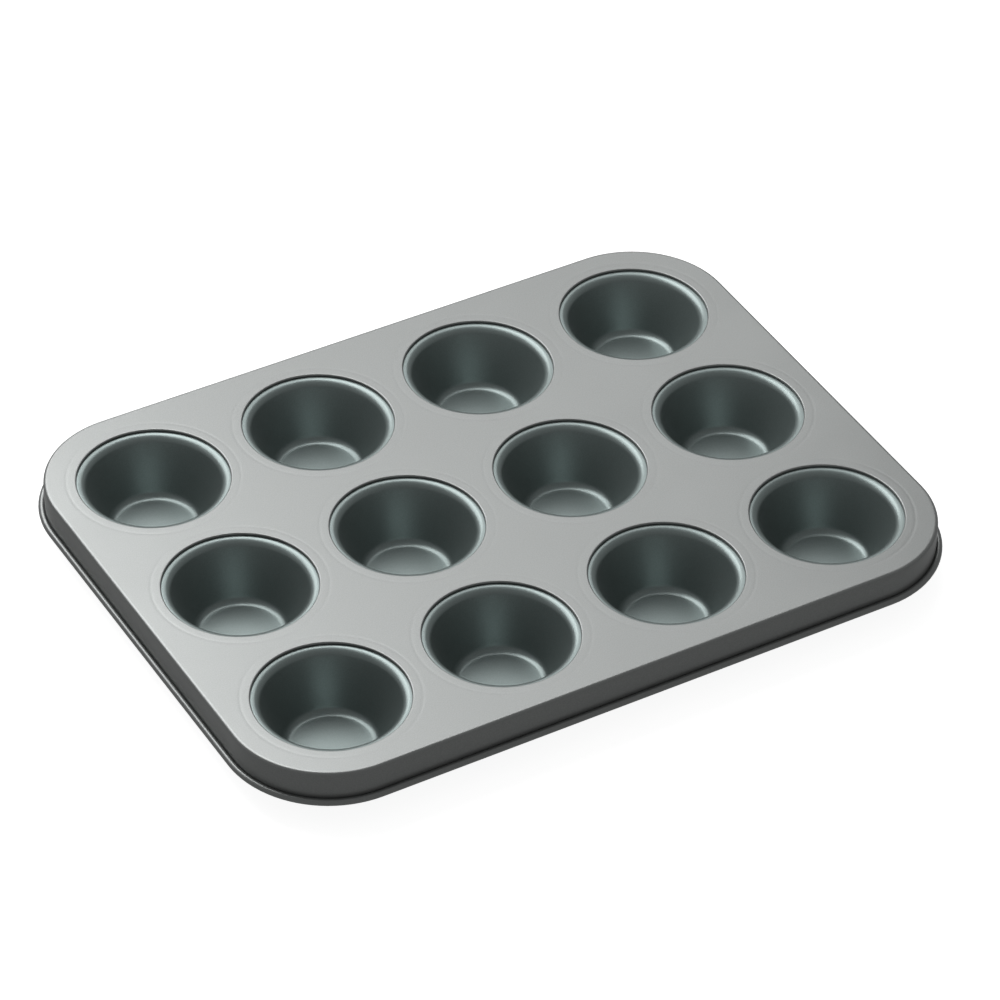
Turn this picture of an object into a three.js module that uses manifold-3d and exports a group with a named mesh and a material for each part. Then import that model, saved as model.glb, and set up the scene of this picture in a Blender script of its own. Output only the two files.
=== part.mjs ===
// A twelve-cup muffin tin, made of a pressed top sheet, twelve drawn cups and a rim wire.
//
// Millimetres, +Z up. The origin is under the middle of the tin, level with the undersides of the
// cups, which it stands on. +X runs along a row of four cups, and +Y across the three rows.
//
// The sheet turns down at each hole and hooks outwards under the plate. The cup's flange folds up
// and inwards over that hook, so the seam has four layers of metal, from the top: plate, flange,
// hook, ledge. The skirt's bottom edge is rolled round the wire.

import * as THREE from 'three';
import { mergeVertices } from 'three/addons/utils/BufferGeometryUtils.js';
import Module from 'manifold-3d';

const wasm = await Module();
wasm.setup();

// Sheet metal
const SHEET = 0.4;
const SEAM_GAP = 0.05;
const LAYER = SHEET + SEAM_GAP;

// Cups
const COLUMNS = 4;
const ROWS = 3;
const PITCH = 83.4;
const CUP_DEPTH = 28;
const MOUTH_RADIUS = 34.5;
const HOOK_WIDTH = 2.6;
const WALL_TOP_RADIUS = 31.2;
const WALL_BOTTOM_RADIUS = 21.1;
const FLOOR_RADIUS = 19;
const FLOOR_CORNER_HEIGHT = 1.3;

// Plate, skirt and rolled rim
const MARGIN = 48.4;
const CORNER_RADIUS = 46;
const EDGE_BEND_RADIUS = 2;
const RIM_DROP = 16.4;
const WIRE_RADIUS = 1.1;
const WIRE_GAP = 0.1;

// The roll leaves the skirt at 180 degrees and stops short of touching it again
const ROLL_START = 180;
const ROLL_END = 480;

// Facets
const ROUND_SEGMENTS = 24;
const CORNER_SEGMENTS = 6;
const ROLL_STEP = 30;
const BEND_STEP = 45;
const WIRE_SEGMENTS = 8;

// Worked out from the above
const PLATE_TOP = CUP_DEPTH + SHEET;
const PLATE_HALF_LENGTH = ((COLUMNS - 1) / 2) * PITCH + MARGIN;
const PLATE_HALF_WIDTH = ((ROWS - 1) / 2) * PITCH + MARGIN;
const HOOK_RADIUS = MOUTH_RADIUS + HOOK_WIDTH;
const ROLL_RADIUS = WIRE_RADIUS + WIRE_GAP + SHEET / 2;
const ROLL_CENTRE_Z = PLATE_TOP - RIM_DROP + ROLL_RADIUS + SHEET / 2;
const ROLL_CENTRE_OFFSET = ROLL_RADIUS - SHEET / 2;
const SKIRT_LAP = 2 * SHEET;

const SHEET_COLOUR = 0xa3a8a7;
const CUP_COLOUR = 0x3f4a49;
const WIRE_COLOUR = 0x8c8f91;

function metal(colour, roughness, metalness) {
  return new THREE.MeshStandardMaterial({ color: colour, roughness, metalness });
}

function namedMesh(name, geometry, material) {
  const mesh = new THREE.Mesh(geometry, material);
  mesh.name = name;
  return mesh;
}

// A solid of revolution about +Z from a profile of [radius, height] points.
function revolve(profile) {
  const points = profile.map(([radius, height]) => new THREE.Vector2(radius, height));
  return new THREE.LatheGeometry(points, ROUND_SEGMENTS).rotateX(Math.PI / 2);
}

// The plate's outline, a rounded rectangle, grown outwards by an offset.
function outline(offset) {
  const halfX = PLATE_HALF_LENGTH + offset;
  const halfY = PLATE_HALF_WIDTH + offset;
  const radius = CORNER_RADIUS + offset;
  const corners = [[1, 1], [-1, 1], [-1, -1], [1, -1]];
  return corners.flatMap(([sideX, sideY], corner) => {
    const centreX = sideX * (halfX - radius);
    const centreY = sideY * (halfY - radius);
    return Array.from({ length: CORNER_SEGMENTS + 1 }, (_, step) => {
      const angle = (corner + step / CORNER_SEGMENTS) * Math.PI / 2;
      const x = centreX + radius * Math.cos(angle);
      return new THREE.Vector2(x, centreY + radius * Math.sin(angle));
    });
  });
}

// A closed band that carries a loop of [offset, height] points once round the plate's outline. The
// loop runs anticlockwise, seen with the offset to the right and the height upwards.
function sweepRound(loop) {
  const rings = loop.map(([offset, height]) => outline(offset).map(({ x, y }) => [x, y, height]));
  const around = rings[0].length;
  const index = [];
  for (let i = 0; i < rings.length; i += 1) {
    const row = i * around;
    const nextRow = ((i + 1) % rings.length) * around;
    for (let j = 0; j < around; j += 1) {
      const k = (j + 1) % around;
      index.push(row + j, row + k, nextRow + k);
      index.push(row + j, nextRow + k, nextRow + j);
    }
  }
  const geometry = new THREE.BufferGeometry();
  geometry.setAttribute('position', new THREE.Float32BufferAttribute(rings.flat(2), 3));
  geometry.setIndex(index);
  return geometry;
}

// Thickens an open path of [offset, height] points by half a sheet to each side.
function thicken(path) {
  const sides = path.map(([x, z], i) => {
    const [beforeX, beforeZ] = path[Math.max(i - 1, 0)];
    const [afterX, afterZ] = path[Math.min(i + 1, path.length - 1)];
    const length = Math.hypot(afterX - beforeX, afterZ - beforeZ);
    const normalX = -(afterZ - beforeZ) / length;
    const normalZ = (afterX - beforeX) / length;
    return { x, z, normalX, normalZ };
  });
  const shifted = (side, by) => [side.x + side.normalX * by, side.z + side.normalZ * by];
  const left = sides.map((side) => shifted(side, SHEET / 2));
  const right = sides.map((side) => shifted(side, -SHEET / 2));
  return [...right, ...left.reverse()];
}

function toSolid(geometry) {
  const bare = geometry.clone();
  bare.deleteAttribute('normal');
  bare.deleteAttribute('uv');
  const merged = mergeVertices(bare);
  const mesh = new wasm.Mesh({
    numProp: 3,
    vertProperties: new Float32Array(merged.attributes.position.array),
    triVerts: new Uint32Array(merged.index.array),
  });
  return new wasm.Manifold(mesh);
}

function toGeometry(solid) {
  const { vertProperties, triVerts } = solid.getMesh();
  const geometry = new THREE.BufferGeometry();
  geometry.setAttribute('position', new THREE.Float32BufferAttribute(vertProperties, 3));
  geometry.setIndex([...triVerts]);
  geometry.computeVertexNormals();
  return geometry;
}

// Centres of the cups, row 1 at the front (-Y) and column 1 at the left (-X).
function cupPlaces() {
  const places = [];
  for (let row = 1; row <= ROWS; row += 1) {
    for (let column = 1; column <= COLUMNS; column += 1) {
      const x = (column - (COLUMNS + 1) / 2) * PITCH;
      const y = (row - (ROWS + 1) / 2) * PITCH;
      places.push({ name: `cup_r${row}c${column}`, x, y });
    }
  }
  return places;
}

// The flat plate, short of its bent edge, with a hole for each cup. The skirt band laps into it.
function flatPlate() {
  const shape = new THREE.Shape(outline(-EDGE_BEND_RADIUS - SKIRT_LAP / 2));
  for (const { x, y } of cupPlaces()) {
    const rim = Array.from({ length: ROUND_SEGMENTS }, (_, step) => {
      const angle = (step / ROUND_SEGMENTS) * 2 * Math.PI;
      const radius = MOUTH_RADIUS + SHEET / 2;
      return new THREE.Vector2(x + radius * Math.cos(angle), y + radius * Math.sin(angle));
    });
    shape.holes.push(new THREE.Path(rim));
  }
  const geometry = new THREE.ExtrudeGeometry(shape, { depth: SHEET, bevelEnabled: false });
  return geometry.translate(0, 0, PLATE_TOP - SHEET);
}

// The bent edge, the skirt and the roll at its bottom, open by a slit where the roll ends.
function skirtBand() {
  const middleZ = PLATE_TOP - SHEET / 2;
  const bend = EDGE_BEND_RADIUS - SHEET / 2;
  const path = [[-EDGE_BEND_RADIUS - SKIRT_LAP, middleZ]];
  for (let degrees = 90; degrees >= 0; degrees -= BEND_STEP) {
    const angle = THREE.MathUtils.degToRad(degrees);
    const offset = -EDGE_BEND_RADIUS + bend * Math.cos(angle);
    path.push([offset, middleZ - bend + bend * Math.sin(angle)]);
  }
  for (let degrees = ROLL_START; degrees <= ROLL_END; degrees += ROLL_STEP) {
    const angle = THREE.MathUtils.degToRad(degrees);
    const offset = ROLL_CENTRE_OFFSET + ROLL_RADIUS * Math.cos(angle);
    path.push([offset, ROLL_CENTRE_Z + ROLL_RADIUS * Math.sin(angle)]);
  }
  return sweepRound(thicken(path));
}

// The turned-down edge of one hole, hooked outwards under the plate.
function mouthHook() {
  const hookTop = PLATE_TOP - 2 * LAYER;
  return revolve([
    [MOUTH_RADIUS, PLATE_TOP],
    [MOUTH_RADIUS, hookTop - SHEET],
    [HOOK_RADIUS, hookTop - SHEET],
    [HOOK_RADIUS, hookTop],
    [MOUTH_RADIUS + SHEET, hookTop],
    [MOUTH_RADIUS + SHEET, PLATE_TOP],
    [MOUTH_RADIUS, PLATE_TOP],
  ]);
}

function topSheet() {
  const hook = toSolid(mouthHook());
  let sheet = toSolid(flatPlate()).add(toSolid(skirtBand()));
  for (const { x, y } of cupPlaces()) {
    sheet = sheet.add(hook.translate([x, y, 0]));
  }
  return toGeometry(sheet);
}

function rimWire() {
  const loop = Array.from({ length: WIRE_SEGMENTS }, (_, step) => {
    const angle = (step / WIRE_SEGMENTS) * 2 * Math.PI;
    const offset = ROLL_CENTRE_OFFSET + WIRE_RADIUS * Math.cos(angle);
    return [offset, ROLL_CENTRE_Z + WIRE_RADIUS * Math.sin(angle)];
  });
  return sweepRound(loop);
}

// One cup, from the middle of its underside out to the folded flange and back to its floor.
function cup() {
  const ledge = PLATE_TOP - 3 * LAYER;
  const flangeTop = PLATE_TOP - LAYER;
  const flangeRadius = HOOK_RADIUS + SEAM_GAP + SHEET;
  const slope = Math.atan2(WALL_TOP_RADIUS - WALL_BOTTOM_RADIUS, ledge - SHEET - FLOOR_CORNER_HEIGHT);
  const wallAcross = SHEET / Math.cos(slope);
  return revolve([
    [0, 0],
    [FLOOR_RADIUS + SHEET / 2, 0],
    [WALL_BOTTOM_RADIUS + wallAcross, FLOOR_CORNER_HEIGHT + SHEET / 2],
    [WALL_TOP_RADIUS + wallAcross, ledge - SHEET],
    [flangeRadius, ledge - SHEET],
    [flangeRadius, flangeTop],
    [MOUTH_RADIUS + SHEET + SEAM_GAP, flangeTop],
    [MOUTH_RADIUS + SHEET + SEAM_GAP, flangeTop - SHEET],
    [HOOK_RADIUS + SEAM_GAP, flangeTop - SHEET],
    [HOOK_RADIUS + SEAM_GAP, ledge],
    [WALL_TOP_RADIUS, ledge],
    [WALL_BOTTOM_RADIUS, FLOOR_CORNER_HEIGHT + SHEET],
    [FLOOR_RADIUS, SHEET],
    [0, SHEET],
  ]);
}

const muffinTin = new THREE.Group();
muffinTin.add(namedMesh('top_sheet', topSheet(), metal(SHEET_COLOUR, 0.42, 0.55)));
muffinTin.add(namedMesh('rim_wire', rimWire(), metal(WIRE_COLOUR, 0.4, 0.9)));
for (const { name, x, y } of cupPlaces()) {
  const mesh = namedMesh(name, cup(), metal(CUP_COLOUR, 0.42, 0.55));
  mesh.position.set(x, y, 0);
  muffinTin.add(mesh);
}

export default muffinTin;
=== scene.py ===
"""Muffin tin: a dark non-stick baking tin with twelve cups, seamed into one pressed sheet.

The twelve cups, the pressed sheet and the wire in its rolled rim are rebuilt here as smooth
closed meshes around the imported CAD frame, and lit and photographed like a studio product shot.
Sizes are in millimetres and are turned into metres when a mesh is made.
"""
import math

import bmesh
import bpy
from mathutils import Matrix, Vector


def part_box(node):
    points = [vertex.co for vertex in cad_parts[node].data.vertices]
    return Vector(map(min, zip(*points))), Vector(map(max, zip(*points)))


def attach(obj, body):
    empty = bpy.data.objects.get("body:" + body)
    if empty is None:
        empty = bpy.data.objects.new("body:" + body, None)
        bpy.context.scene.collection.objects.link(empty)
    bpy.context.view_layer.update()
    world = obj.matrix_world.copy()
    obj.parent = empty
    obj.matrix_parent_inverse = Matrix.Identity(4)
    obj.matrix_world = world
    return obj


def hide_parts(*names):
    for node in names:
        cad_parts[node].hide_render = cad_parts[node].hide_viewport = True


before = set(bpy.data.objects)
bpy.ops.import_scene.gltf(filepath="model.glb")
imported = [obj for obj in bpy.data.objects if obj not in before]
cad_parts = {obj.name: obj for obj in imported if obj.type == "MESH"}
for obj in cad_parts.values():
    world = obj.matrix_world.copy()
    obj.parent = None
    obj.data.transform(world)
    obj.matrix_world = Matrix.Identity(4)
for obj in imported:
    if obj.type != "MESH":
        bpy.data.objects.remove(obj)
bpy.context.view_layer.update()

MM = 0.001
COLUMNS = 4
ROWS = 3


def cup_name(row, column):
    """The CAD node of a cup, with rows counted from the front and columns from the left."""
    return f"cup_r{row}c{column}"


# ---- Sizes taken from the frame --------------------------------------------------------------

sheet_low, sheet_high = (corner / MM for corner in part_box("top_sheet"))
first_low, first_high = (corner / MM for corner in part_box(cup_name(1, 1)))
last_low, last_high = (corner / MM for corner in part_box(cup_name(ROWS, COLUMNS)))
FIRST_CENTRE = (first_low + first_high) / 2
LAST_CENTRE = (last_low + last_high) / 2
PITCH = (LAST_CENTRE.x - FIRST_CENTRE.x) / (COLUMNS - 1)
FLANGE_RADIUS = (first_high.x - first_low.x) / 2
PLATE_TOP = sheet_high.z
RIM_BOTTOM = sheet_low.z

# ---- Sizes of the pressed metal ---------------------------------------------------------------

SHEET = 0.4
HALF_SHEET = SHEET / 2
SEAM_GAP = 0.05
LAYER = SHEET + SEAM_GAP

WALL_TOP_RADIUS = 31.2
WALL_BOTTOM_RADIUS = 21.1
FLOOR_CORNER_HEIGHT = 1.3
FLOOR_FILLET = 4.5
LIP_FILLET = 4.0
FOLD_RADIUS = 0.45
FLANGE_GAP = 0.5

COLLAR_RADIUS = 34.5
COLLAR_BEND = 0.5
HOOK_BEND = 0.35
RIPPLE_RADIUS = 39.1
RIPPLE_WIDTH = 1.1
RIPPLE_DEPTH = 0.03
RIPPLE_STEPS = 3
# Narrow flat rings beside a curve, which keep its smooth shading off the flat plate.
FLAT_RING = 0.3
INNER_FLAT = 0.8
EDGE_MARGIN = 0.5

ROLL_RADIUS = 1.4
ROLL_OVERHANG = ROLL_RADIUS + HALF_SHEET - SHEET
ROLL_START = 180
ROLL_END = 480
WIRE_RADIUS = 1.1
EDGE_BEND = 1.5
SKIRT_REACH = EDGE_MARGIN + EDGE_BEND
CORNER_RADIUS = 46.0
PLATE_HALF_LENGTH = sheet_high.x - ROLL_OVERHANG - ROLL_RADIUS - HALF_SHEET
PLATE_HALF_WIDTH = sheet_high.y - ROLL_OVERHANG - ROLL_RADIUS - HALF_SHEET
FLAT_HALF_LENGTH = PLATE_HALF_LENGTH - SKIRT_REACH
FLAT_HALF_WIDTH = PLATE_HALF_WIDTH - SKIRT_REACH
ROLL_CENTRE_Z = RIM_BOTTOM + ROLL_RADIUS + HALF_SHEET
ROLL_CENTRE = (SKIRT_REACH + ROLL_OVERHANG, ROLL_CENTRE_Z)

CUP_SEGMENTS = 96
SIDE_SEGMENTS = 24
ON_AXIS = 1e-9

# In metres, as the meshes are.
WELD_DISTANCE = 0.5e-6


# ---- Sections: a centre line of points with normals, and the outline of the sheet on it --------

def line(start, end, steps=1):
    """Points from start to end with the normal on the left of the direction of travel."""
    start, end = Vector(start), Vector(end)
    along = (end - start).normalized()
    normal = Vector((-along.y, along.x))
    return [(start.lerp(end, k / steps), normal) for k in range(steps + 1)]


def arc(centre, radius, start, end, steps):
    """Points round centre from angle start to angle end, in degrees, with normals on the left."""
    side = -1 if end > start else 1
    points = []
    for k in range(steps + 1):
        angle = math.radians(start + (end - start) * k / steps)
        outward = Vector((math.cos(angle), math.sin(angle)))
        points.append((Vector(centre) + outward * radius, outward * side))
    return points


def join(*runs):
    """One centre line from several runs, each starting where the last one ended."""
    path = []
    for run in runs:
        path += run if not path else run[1:]
    return path


def sides(path):
    """The two faces of a sheet whose middle follows path: its left face and its right face."""
    left = [point + normal * HALF_SHEET for point, normal in path]
    right = [point - normal * HALF_SHEET for point, normal in path]
    return left, right


def rounded_end(path, steps=5):
    """Points round the end of a sheet, from its left face to its right face."""
    point, normal = path[-1]
    forward = Vector((normal.y, -normal.x))
    turns = [math.pi * k / steps for k in range(1, steps)]
    return [point + (normal * math.cos(t) + forward * math.sin(t)) * HALF_SHEET for t in turns]


def cup_section():
    """The cup's section as (radius, height): from the middle of its floor along the inside to the
    end of its flange, and back along the outside."""
    ledge = PLATE_TOP - 3 * LAYER
    slope = math.atan2(WALL_TOP_RADIUS - WALL_BOTTOM_RADIUS, ledge - SHEET - FLOOR_CORNER_HEIGHT)
    rise = 90 - math.degrees(slope)
    along = Vector((math.sin(slope), math.cos(slope)))
    outward = Vector((along.y, -along.x))
    corner_top = Vector((WALL_BOTTOM_RADIUS, SHEET + FLOOR_CORNER_HEIGHT)) + outward * HALF_SHEET

    # The fillet at the floor, drawn as all the rest is on the metal's middle line.
    radius = FLOOR_FILLET + HALF_SHEET
    floor_z = HALF_SHEET
    centre_z = floor_z + radius
    inward = -outward
    reach = (centre_z - (corner_top + inward * radius).y) / along.y
    centre = corner_top + inward * radius + along * reach
    floor = line((0, floor_z), (centre.x, floor_z), steps=12)
    fillet = arc(centre, radius, -90, -90 + rise, steps=10)
    wall_start = fillet[-1][0]

    # The lip rolls over from the wall to the shallow ledge, which passes under the sheet's hook.
    top_z = ledge - HALF_SHEET
    over = LIP_FILLET - HALF_SHEET
    base = corner_top + outward * over
    over_centre = base + along * ((top_z - over - base.y) / along.y)
    wall_end = over_centre + inward * over
    wall = line(wall_start, wall_end, steps=16)
    shoulder = arc(over_centre, over, 90 + rise, 90, steps=14)
    fold_r = FLANGE_RADIUS - FOLD_RADIUS - HALF_SHEET
    flange_end = COLLAR_RADIUS + SHEET + FLANGE_GAP
    ledge_run = line(shoulder[-1][0], (fold_r, top_z), steps=6)
    fold = arc((fold_r, top_z + FOLD_RADIUS), FOLD_RADIUS, -90, 90, steps=10)
    flange = line(fold[-1][0], (flange_end, top_z + 2 * FOLD_RADIUS), steps=3)
    path = join(floor, fillet, wall, shoulder, ledge_run, fold, flange)
    left, right = sides(path)
    return left + rounded_end(path) + right[::-1]


def mouth_section():
    """The sheet's section at a hole as (radius, height): along the plate's top face towards the
    hole, down the collar, round the end of the hook and back under the plate."""
    plate_z = PLATE_TOP - HALF_SHEET
    collar_r = COLLAR_RADIUS + HALF_SHEET
    hook_z = PLATE_TOP - 2 * LAYER - HALF_SHEET
    bend_r = collar_r + COLLAR_BEND
    hook_r = collar_r + HOOK_BEND
    hook_end = FLANGE_RADIUS - FOLD_RADIUS - HALF_SHEET
    ripple_outer = RIPPLE_RADIUS + RIPPLE_WIDTH
    ripple_inner = RIPPLE_RADIUS - RIPPLE_WIDTH
    radii = [ripple_outer + 2 * FLAT_RING, ripple_outer + FLAT_RING]
    radii += [RIPPLE_RADIUS - RIPPLE_WIDTH * k / RIPPLE_STEPS
              for k in range(-RIPPLE_STEPS, RIPPLE_STEPS + 1)]
    radii += [ripple_inner - INNER_FLAT, bend_r + FLAT_RING]
    plate = [(Vector((r, plate_z + ripple(r))), Vector((0, -1))) for r in radii]
    collar_bend = arc((bend_r, plate_z - COLLAR_BEND), COLLAR_BEND, 90, 180, steps=7)
    hook_bend = arc((hook_r, hook_z + HOOK_BEND), HOOK_BEND, 180, 270, steps=6)
    collar = line(collar_bend[-1][0], hook_bend[0][0])
    hook = line(hook_bend[-1][0], (hook_end, hook_z))
    path = plate + join(collar_bend, collar, hook_bend, hook)
    left, right = sides(path)
    return right + rounded_end(path)[::-1] + left[::-1]


def ripple(radius):
    """The height of the faint ring that pressing leaves round each hole."""
    across = (radius - RIPPLE_RADIUS) / RIPPLE_WIDTH
    return -RIPPLE_DEPTH * (0.5 + 0.5 * math.cos(math.pi * across)) if abs(across) < 1 else 0.0


def skirt_section():
    """The sheet's section at its edge as (distance out from the flat plate, height): round the
    bend, down the skirt, round the rolled rim and back up the inside."""
    plate_z = PLATE_TOP - HALF_SHEET
    margin = line((0, plate_z), (EDGE_MARGIN, plate_z))
    bend = arc((EDGE_MARGIN, PLATE_TOP - EDGE_BEND), EDGE_BEND - HALF_SHEET, 90, 0, steps=10)
    skirt = line(bend[-1][0], (SKIRT_REACH - HALF_SHEET, ROLL_CENTRE_Z), steps=6)
    roll = arc(ROLL_CENTRE, ROLL_RADIUS, ROLL_START, ROLL_END, steps=24)
    path = join(margin, bend, skirt, roll)
    left, right = sides(path)
    return left + rounded_end(path) + right[::-1]


# ---- Meshes ------------------------------------------------------------------------------------

def grid_faces(mesh, rings, close_along=False):
    """Fills quads between neighbouring rings of vertices, and from the last ring to the first."""
    for here, there in zip(rings, rings[1:] + rings[:1]):
        steps = len(here) if close_along else len(here) - 1
        for k in range(steps):
            j = (k + 1) % len(here)
            corners = []
            for vertex in (here[k], here[j], there[j], there[k]):
                if vertex not in corners:
                    corners.append(vertex)
            if len(corners) > 2:
                mesh.faces.new(corners)


def finish_mesh(mesh, name):
    """Merges touching vertices, turns every face outwards and makes the object."""
    bmesh.ops.remove_doubles(mesh, verts=mesh.verts, dist=WELD_DISTANCE)
    bmesh.ops.recalc_face_normals(mesh, faces=mesh.faces)
    data = bpy.data.meshes.new(name)
    mesh.to_mesh(data)
    mesh.free()
    for polygon in data.polygons:
        polygon.use_smooth = True
    piece = bpy.data.objects.new(name, data)
    bpy.context.scene.collection.objects.link(piece)
    return piece


def make_cup(name, centre):
    """A drawn cup: its section turned round the middle of its CAD node."""
    mesh = bmesh.new()
    section = cup_section()
    on_axis = {}
    rings = []
    for k in range(CUP_SEGMENTS):
        angle = 2 * math.pi * k / CUP_SEGMENTS
        ring = []
        for index, point in enumerate(section):
            if index in on_axis:
                ring.append(on_axis[index])
                continue
            place = Vector((centre.x + point.x * math.cos(angle),
                            centre.y + point.x * math.sin(angle), point.y))
            vertex = mesh.verts.new(place * MM)
            if abs(point.x) < ON_AXIS:
                on_axis[index] = vertex
            ring.append(vertex)
        rings.append(ring)
    grid_faces(mesh, rings)
    return finish_mesh(mesh, name)


def side_steps(before, after):
    """Distances along one side of a cup's cell, from -before up to but not including +after."""
    half = SIDE_SEGMENTS // 2
    quarter = math.pi / 4
    low = [-before * math.tan(quarter * (1 - k / half)) for k in range(half)]
    return low + [after * math.tan(quarter * k / half) for k in range(half)]


def on_outline(x, y):
    """A point moved on to the flat plate's rounded corner if it lies beyond it, and the
    direction that faces out there."""
    radius = CORNER_RADIUS - SKIRT_REACH
    corner = Vector((math.copysign(FLAT_HALF_LENGTH - radius, x),
                     math.copysign(FLAT_HALF_WIDTH - radius, y)))
    if abs(x) > abs(corner.x) and abs(y) > abs(corner.y):
        outward = (Vector((x, y)) - corner).normalized()
        return corner + outward * radius, outward
    if FLAT_HALF_LENGTH - abs(x) < FLAT_HALF_WIDTH - abs(y):
        return Vector((x, y)), Vector((math.copysign(1, x), 0))
    return Vector((x, y)), Vector((0, math.copysign(1, y)))


def spans(count, flat_half):
    """For each cell along one axis: its cup's centre and how far it reaches before and after."""
    centres = [(k - (count - 1) / 2) * PITCH for k in range(count)]
    ends = [-flat_half] + [(k - count / 2) * PITCH for k in range(1, count)] + [flat_half]
    return [(c, c - ends[k], ends[k + 1] - c) for k, c in enumerate(centres)]


COLUMN_SPANS = spans(COLUMNS, FLAT_HALF_LENGTH)
ROW_SPANS = spans(ROWS, FLAT_HALF_WIDTH)


def cell_outline(column, row):
    """The outline of one cup's share of the plate, anticlockwise."""
    cx, left, right = column
    cy, front, back = row
    across = side_steps(left, right)
    along = side_steps(front, back)
    back_steps = [-t for t in side_steps(right, left)]
    down_steps = [-t for t in side_steps(back, front)]
    loop = [(cx + t, cy - front) for t in across]
    loop += [(cx + right, cy + t) for t in along]
    loop += [(cx + t, cy + back) for t in back_steps]
    loop += [(cx - left, cy + t) for t in down_steps]
    return [on_outline(x, y)[0] for x, y in loop]


def plate_outline():
    """The flat plate's whole outline, anticlockwise, with the directions that face out."""
    loop = [(cx + t, -FLAT_HALF_WIDTH) for cx, a, b in COLUMN_SPANS for t in side_steps(a, b)]
    loop += [(FLAT_HALF_LENGTH, cy + t) for cy, a, b in ROW_SPANS for t in side_steps(a, b)]
    return [on_outline(x, y) for x, y in loop + [(-x, -y) for x, y in loop]]


def make_top_sheet(name):
    """The pressed sheet: plate, twelve collars with their hooks, skirt and rolled rim."""
    mesh = bmesh.new()
    section = mouth_section()
    for column in COLUMN_SPANS:
        for row in ROW_SPANS:
            centre = Vector((column[0], row[0]))
            rings = []
            for edge in cell_outline(column, row):
                outward = (edge - centre).normalized()
                ring = [mesh.verts.new(Vector((edge.x, edge.y, PLATE_TOP)) * MM)]
                for point in section:
                    place = centre + outward * point.x
                    ring.append(mesh.verts.new(Vector((place.x, place.y, point.y)) * MM))
                ring.append(mesh.verts.new(Vector((edge.x, edge.y, PLATE_TOP - SHEET)) * MM))
                rings.append(ring)
            grid_faces(mesh, rings)
    rings = []
    section = skirt_section()
    for edge, outward in plate_outline():
        ring = []
        for point in section:
            place = edge + outward * point.x
            ring.append(mesh.verts.new(Vector((place.x, place.y, point.y)) * MM))
        rings.append(ring)
    grid_faces(mesh, rings)
    return finish_mesh(mesh, name)


def make_wire(name):
    """The round wire inside the rolled rim."""
    mesh = bmesh.new()
    circle = arc(ROLL_CENTRE, WIRE_RADIUS, 0, 360, steps=16)[:-1]
    rings = []
    for edge, outward in plate_outline():
        ring = []
        for point, _ in circle:
            place = edge + outward * point.x
            ring.append(mesh.verts.new(Vector((place.x, place.y, point.y)) * MM))
        rings.append(ring)
    grid_faces(mesh, rings, close_along=True)
    return finish_mesh(mesh, name)


# ---- Materials ---------------------------------------------------------------------------------

NOISE_LOW = 0.3
NOISE_HIGH = 0.7
COATING_METALLIC = 0.65
COATING_IOR = 1.5
COATING_ROUGH_LOW = 0.31
COATING_ROUGH_HIGH = 0.35
SPECKLE_SCALE = 1900.0
MOTTLE_SCALE = 28.0
PEEL_SCALE = 1140.0
PEEL_STRENGTH = 0.12
PEEL_HEIGHT = 0.00004
STREAK_SCALE = 700.0
STEEL_DARK = (0.36, 0.37, 0.38)
STEEL_LIGHT = (0.55, 0.56, 0.57)
STEEL_ROUGH_LOW = 0.25
STEEL_ROUGH_HIGH = 0.4


def set_sockets(node, **values):
    """Sets sockets by name, with an underscore for each space."""
    for socket, value in values.items():
        node.inputs[socket.replace("_", " ")].default_value = value


def node_of(tree, kind, **values):
    """A new shader node with its sockets set."""
    node = tree.nodes.new(kind)
    set_sockets(node, **values)
    return node


def noise(tree, place, scale, detail):
    """A 3-D noise whose features are about 1 / scale metres across."""
    node = node_of(tree, "ShaderNodeTexNoise", Scale=scale, Detail=detail)
    tree.links.new(place, node.inputs["Vector"])
    return node.outputs["Fac"]


def blend_range(tree, value, low, high):
    """Turns a 0 to 1 noise, which mostly lies near its middle, into a value from low to high."""
    node = node_of(tree, "ShaderNodeMapRange", From_Min=NOISE_LOW, From_Max=NOISE_HIGH,
                   To_Min=low, To_Max=high)
    tree.links.new(value, node.inputs["Value"])
    return node.outputs["Result"]


def mix_colours(tree, factor, first, second):
    """A colour that goes from first to second as the factor goes from 0 to 1."""
    node = tree.nodes.new("ShaderNodeMix")
    node.data_type = "RGBA"
    tree.links.new(factor, node.inputs["Factor"])
    for name, colour in (("A", first), ("B", second)):
        socket = [s for s in node.inputs if s.name == name and s.type == "RGBA"][0]
        socket.default_value = (*colour, 1)
    return [s for s in node.outputs if s.type == "RGBA"][0]


def new_material(name):
    """A material with its node tree, its shader and the place that its noises are read at."""
    material = bpy.data.materials.new(name)
    material.use_nodes = True
    tree = material.node_tree
    place = tree.nodes.new("ShaderNodeTexCoord").outputs["Object"]
    return material, tree, tree.nodes["Principled BSDF"], place


def coating(name, dark, light):
    """Satin non-stick coating: fine speckle, slowly varying gloss and a slight orange peel."""
    material, tree, shader, place = new_material(name)
    set_sockets(shader, Metallic=COATING_METALLIC, IOR=COATING_IOR)
    fine = blend_range(tree, noise(tree, place, SPECKLE_SCALE, 3.0), 0.0, 1.0)
    tree.links.new(mix_colours(tree, fine, dark, light), shader.inputs["Base Color"])
    mottle = noise(tree, place, MOTTLE_SCALE, 4.0)
    rough = blend_range(tree, mottle, COATING_ROUGH_LOW, COATING_ROUGH_HIGH)
    tree.links.new(rough, shader.inputs["Roughness"])
    peel = node_of(tree, "ShaderNodeBump", Strength=PEEL_STRENGTH, Distance=PEEL_HEIGHT)
    tree.links.new(noise(tree, place, PEEL_SCALE, 2.0), peel.inputs["Height"])
    tree.links.new(peel.outputs["Normal"], shader.inputs["Normal"])
    return material


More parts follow.
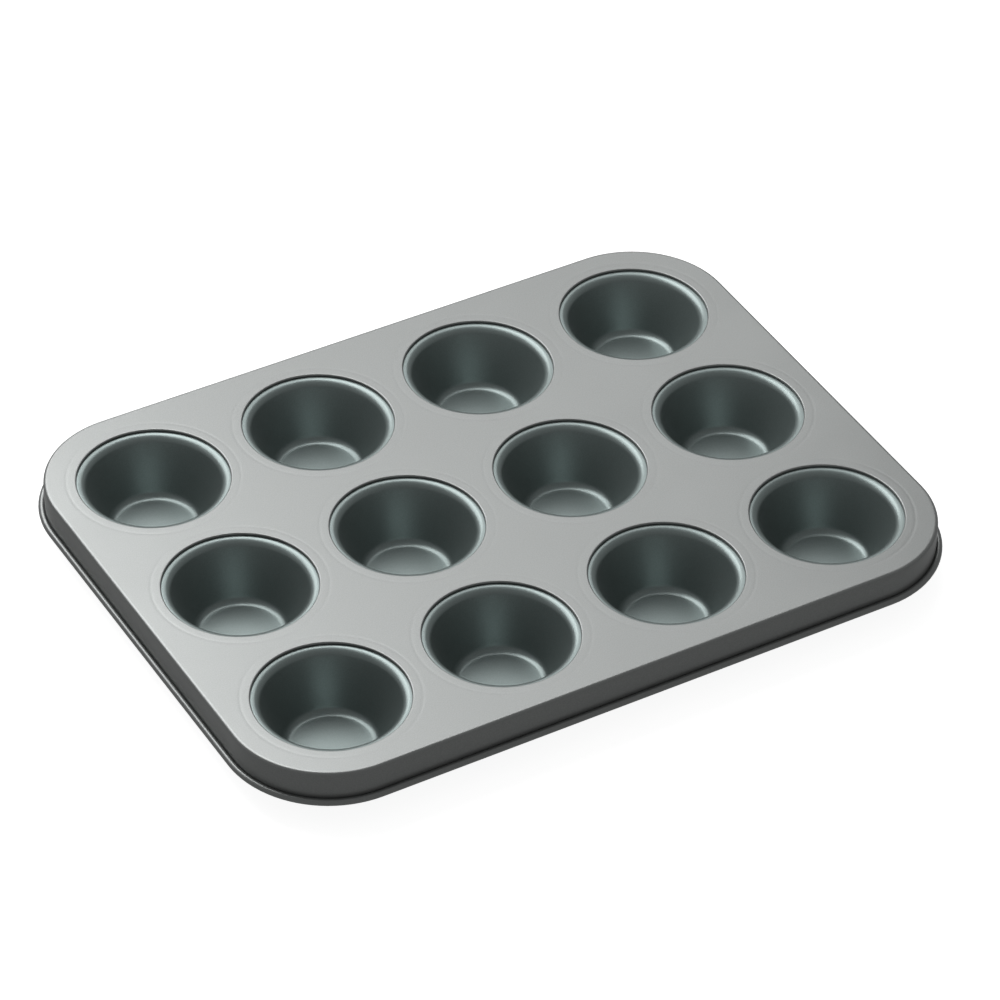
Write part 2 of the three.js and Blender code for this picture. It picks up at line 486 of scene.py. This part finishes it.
def drawn_steel(name):
    """Bare drawn wire: bright, with fine streaks."""
    material, tree, shader, place = new_material(name)
    set_sockets(shader, Metallic=1.0)
    streak = noise(tree, place, STREAK_SCALE, 4.0)
    colour = mix_colours(tree, streak, STEEL_DARK, STEEL_LIGHT)
    tree.links.new(colour, shader.inputs["Base Color"])
    rough = blend_range(tree, streak, STEEL_ROUGH_LOW, STEEL_ROUGH_HIGH)
    tree.links.new(rough, shader.inputs["Roughness"])
    return material


sheet_coating = coating("sheet_coating", (0.20, 0.208, 0.205), (0.234, 0.243, 0.239))
cup_coating = coating("cup_coating", (0.171, 0.204, 0.20), (0.197, 0.234, 0.23))
wire_steel = drawn_steel("wire_steel")


# ---- The pieces --------------------------------------------------------------------------------

def place_piece(piece, node, material):
    """Gives a piece its material and sets it in the frame instead of its CAD node."""
    piece.data.materials.append(material)
    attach(piece, "root")
    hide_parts(node)


place_piece(make_top_sheet("pressed_sheet"), "top_sheet", sheet_coating)
place_piece(make_wire("rolled_rim_wire"), "rim_wire", wire_steel)
for row in range(1, ROWS + 1):
    for column in range(1, COLUMNS + 1):
        node = cup_name(row, column)
        low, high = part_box(node)
        cup = make_cup(f"drawn_{node}", (low + high) / 2 / MM)
        place_piece(cup, node, cup_coating)


# ---- Floor, light and camera -------------------------------------------------------------------

# Sizes and distances here are in metres, apart from the camera's lens and target.
FLOOR_HALF = 4.0
FLOOR_GREY = 0.38
FLOOR_ROUGHNESS = 0.9
FLOOR_GLOW = 0.9
WORLD_GLOW = 0.295
SOFTBOX_DISTANCE = 1.1

floor_data = bpy.data.meshes.new("floor")
floor_corners = [(-FLOOR_HALF, -FLOOR_HALF, 0), (FLOOR_HALF, -FLOOR_HALF, 0),
                 (FLOOR_HALF, FLOOR_HALF, 0), (-FLOOR_HALF, FLOOR_HALF, 0)]
floor_data.from_pydata(floor_corners, [], [(0, 1, 2, 3)])
floor = bpy.data.objects.new("floor", floor_data)
bpy.context.scene.collection.objects.link(floor)
floor_paper = bpy.data.materials.new("floor_paper")
floor_paper.use_nodes = True
set_sockets(floor_paper.node_tree.nodes["Principled BSDF"],
            Base_Color=(FLOOR_GREY, FLOOR_GREY, FLOOR_GREY, 1), Roughness=FLOOR_ROUGHNESS,
            Specular_IOR_Level=0.0, Emission_Color=(1.0, 1.0, 1.0, 1),
            Emission_Strength=FLOOR_GLOW)
floor_data.materials.append(floor_paper)
# The glowing floor makes the background white, so it must not light the tin or show in it.
floor.visible_glossy = False
floor.visible_diffuse = False

world = bpy.data.worlds.new("studio")
bpy.context.scene.world = world
world.use_nodes = True
set_sockets(world.node_tree.nodes["Background"], Color=(1.0, 1.0, 1.0, 1), Strength=WORLD_GLOW)


def direction(azimuth, elevation):
    """The direction to a place round the tin. Azimuth 0 is in front and turns to the right."""
    a, e = math.radians(azimuth), math.radians(elevation)
    return Vector((math.sin(a) * math.cos(e), -math.cos(a) * math.cos(e), math.sin(e)))


def softbox(name, azimuth, elevation, width, height, radiance):
    """A rectangular softbox that faces the tin."""
    data = bpy.data.lights.new(name, "AREA")
    data.shape = "RECTANGLE"
    data.size = width
    data.size_y = height
    data.energy = radiance * width * height * math.pi
    light = bpy.data.objects.new(name, data)
    towards = direction(azimuth, elevation)
    light.location = towards * SOFTBOX_DISTANCE
    light.rotation_mode = "QUATERNION"
    light.rotation_quaternion = towards.to_track_quat("Z", "Y")
    light.visible_camera = False
    bpy.context.scene.collection.objects.link(light)


softbox("back_left_softbox", 193.0, 51.0, 0.72, 0.95, 3.9)
softbox("back_right_softbox", 154.0, 50.0, 0.76, 0.92, 1.9)
softbox("left_softbox", 230.0, 40.0, 0.65, 0.5, 0.4)

CAMERA_AZIMUTH = -30.51
CAMERA_ELEVATION = 39.55
CAMERA_ROLL = math.radians(1.04)
CAMERA_DISTANCE = 2.269
CAMERA_LENS = 183.6
CAMERA_SENSOR = 36.0
CAMERA_TARGET = Vector((2.65, -4.8, PLATE_TOP)) * MM

back = direction(CAMERA_AZIMUTH, CAMERA_ELEVATION)
level_right = Vector((0, 0, 1)).cross(back).normalized()
level_up = back.cross(level_right)
camera_x = level_right * math.cos(CAMERA_ROLL) + level_up * math.sin(CAMERA_ROLL)
camera_y = level_up * math.cos(CAMERA_ROLL) - level_right * math.sin(CAMERA_ROLL)
camera_data = bpy.data.cameras.new("camera")
camera_data.lens = CAMERA_LENS
camera_data.sensor_width = CAMERA_SENSOR
camera = bpy.data.objects.new("camera", camera_data)
turn = Matrix((camera_x, camera_y, back)).transposed()
camera.matrix_world = Matrix.Translation(CAMERA_TARGET + back * CAMERA_DISTANCE) @ turn.to_4x4()
bpy.context.scene.collection.objects.link(camera)
bpy.context.scene.camera = camera
bpy.context.scene.view_settings.view_transform = "Standard"
